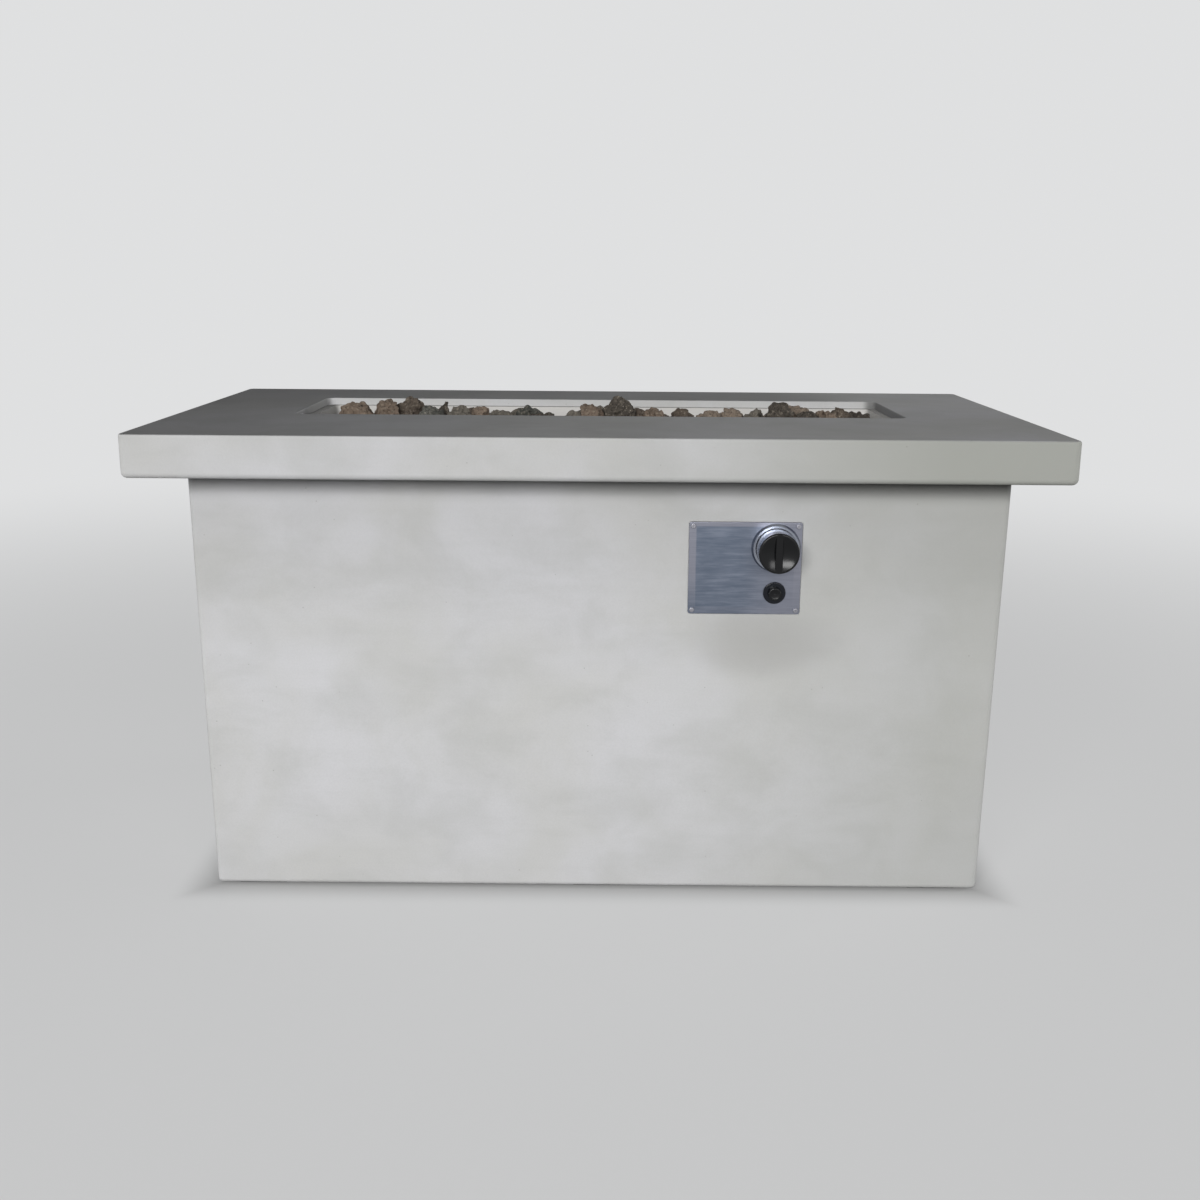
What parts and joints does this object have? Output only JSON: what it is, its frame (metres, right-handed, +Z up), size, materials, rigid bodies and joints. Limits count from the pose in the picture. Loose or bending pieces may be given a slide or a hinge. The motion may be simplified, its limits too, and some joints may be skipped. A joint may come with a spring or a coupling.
{
  "type": "fire pit table",
  "caption": "Rectangular cast-concrete gas fire pit table: overhanging slab top with a long rock-filled burner recess, hollow pedestal, front control plate and rear access door.",
  "frame": {"origin": "on the ground, under the middle of the table", "axes": "+X along the table's length to the right of someone facing the control plate, +Y to the back, +Z up"},
  "size_m": [1.118, 0.61, 0.6124],
  "materials": {
    "concrete": "cast, lightly mottled, sealed matt",
    "concrete_top": "cast and trowelled, sealed matt",
    "rubber": "matt",
    "zinc_steel": "zinc plated",
    "brass": "machined",
    "plate_steel": "brushed across",
    "pan_steel": "brushed",
    "burner_steel": "satin, heat tinted",
    "screw_steel": "satin",
    "chrome": "polished",
    "black_gloss": "gloss",
    "black_matt": "matt",
    "battery_skin": "plain sleeve, no print",
    "valve_alloy": "die-cast, bead blasted",
    "ceramic": "glazed white",
    "lead_sheath": "silicone",
    "copper_tube": "drawn copper",
    "gas_line_steel": "corrugated look, satin",
    "lava": "rough, porous",
    "door_paint": "powder coated, matt",
    "spring_steel": "satin",
    "magnet_case": "matt"
  },
  "bodies": {
    "table": {"table_top": "concrete_top", "pedestal": "concrete", "top_pads": "rubber", "feet": "rubber", "top_brackets": "zinc_steel", "bracket_bolts": "zinc_steel", "cast_inserts": "brass", "control_plate": "plate_steel", "control_plate_screws": "screw_steel", "knob_bezel": "chrome", "valve_spring": "spring_steel", "valve_bonnet": "valve_alloy", "valve_body": "valve_alloy", "valve_screws": "screw_steel", "igniter_housing": "black_matt", "igniter_nut": "black_matt", "igniter_spring": "spring_steel", "igniter_battery": "battery_skin", "igniter_lead": "lead_sheath", "burner_pan": "pan_steel", "burner_tube": "burner_steel", "burner_end_caps": "burner_steel", "burner_saddles": "burner_steel", "burner_locknut": "brass", "air_mixer": "zinc_steel", "gas_jet": "brass", "gas_line": "gas_line_steel", "flare_nuts": "brass", "pilot_hood": "burner_steel", "spark_ceramic": "ceramic", "spark_pin": "spring_steel", "pilot_bracket": "burner_steel", "flame_sensor": "copper_tube", "heat_shield": "pan_steel", "shield_spacers": "zinc_steel", "shield_screws": "screw_steel", "lava_rocks_top": "lava", "lava_rocks_base": "lava", "door_frame": "door_paint", "door_frame_screws": "screw_steel", "door_catch": "magnet_case", "hinge_fixed_knuckles": "zinc_steel", "hinge_pins": "screw_steel", "tank_rails": "zinc_steel", "rail_bolts": "zinc_steel", "tank_tray": "zinc_steel", "tank_ring": "zinc_steel", "end_vents": "screw_steel", "end_vent_screws": "screw_steel"},
    "valve_push": {"valve_push_rod": "brass"},
    "knob_turning": {"knob": "black_gloss", "knob_sleeve": "chrome", "valve_stem": "brass"},
    "igniter_push": {"igniter_button": "black_gloss"},
    "door": {"rear_door": "door_paint", "door_handle": "black_matt", "door_strike": "zinc_steel", "hinge_moving_knuckles": "zinc_steel"},
    "air_shutter_ring": {"air_shutter": "zinc_steel"}
  },
  "joints": [
    {"name": "knob_push", "type": "slide", "parent": "table", "child": "valve_push", "axis": [0, 1, 0], "range_m": [0, 0.005], "stiffness_N_per_m": 1200, "springref_m": -0.004, "deforming": ["valve_spring"]},
    {"name": "knob_turn", "type": "hinge", "parent": "valve_push", "child": "knob_turning", "pos_m": [0.216, -0.24492, 0.454], "axis": [0, -1, 0], "range_deg": [0, 180]},
    {"name": "igniter_press", "type": "slide", "parent": "table", "child": "igniter_push", "axis": [0, 1, 0], "range_m": [0, 0.004], "stiffness_N_per_m": 1500, "springref_m": -0.004, "deforming": ["igniter_spring"]},
    {"name": "rear_door_swing", "type": "hinge", "parent": "table", "child": "door", "pos_m": [-0.458, 0.24747, 0.27], "axis": [0, 0, 1], "range_deg": [0, 110]},
    {"name": "air_shutter_turn", "type": "hinge", "parent": "table", "child": "air_shutter_ring", "pos_m": [0, 0.047, 0.452], "axis": [0, 0, 1], "range_deg": [0, 60]}
  ]
}
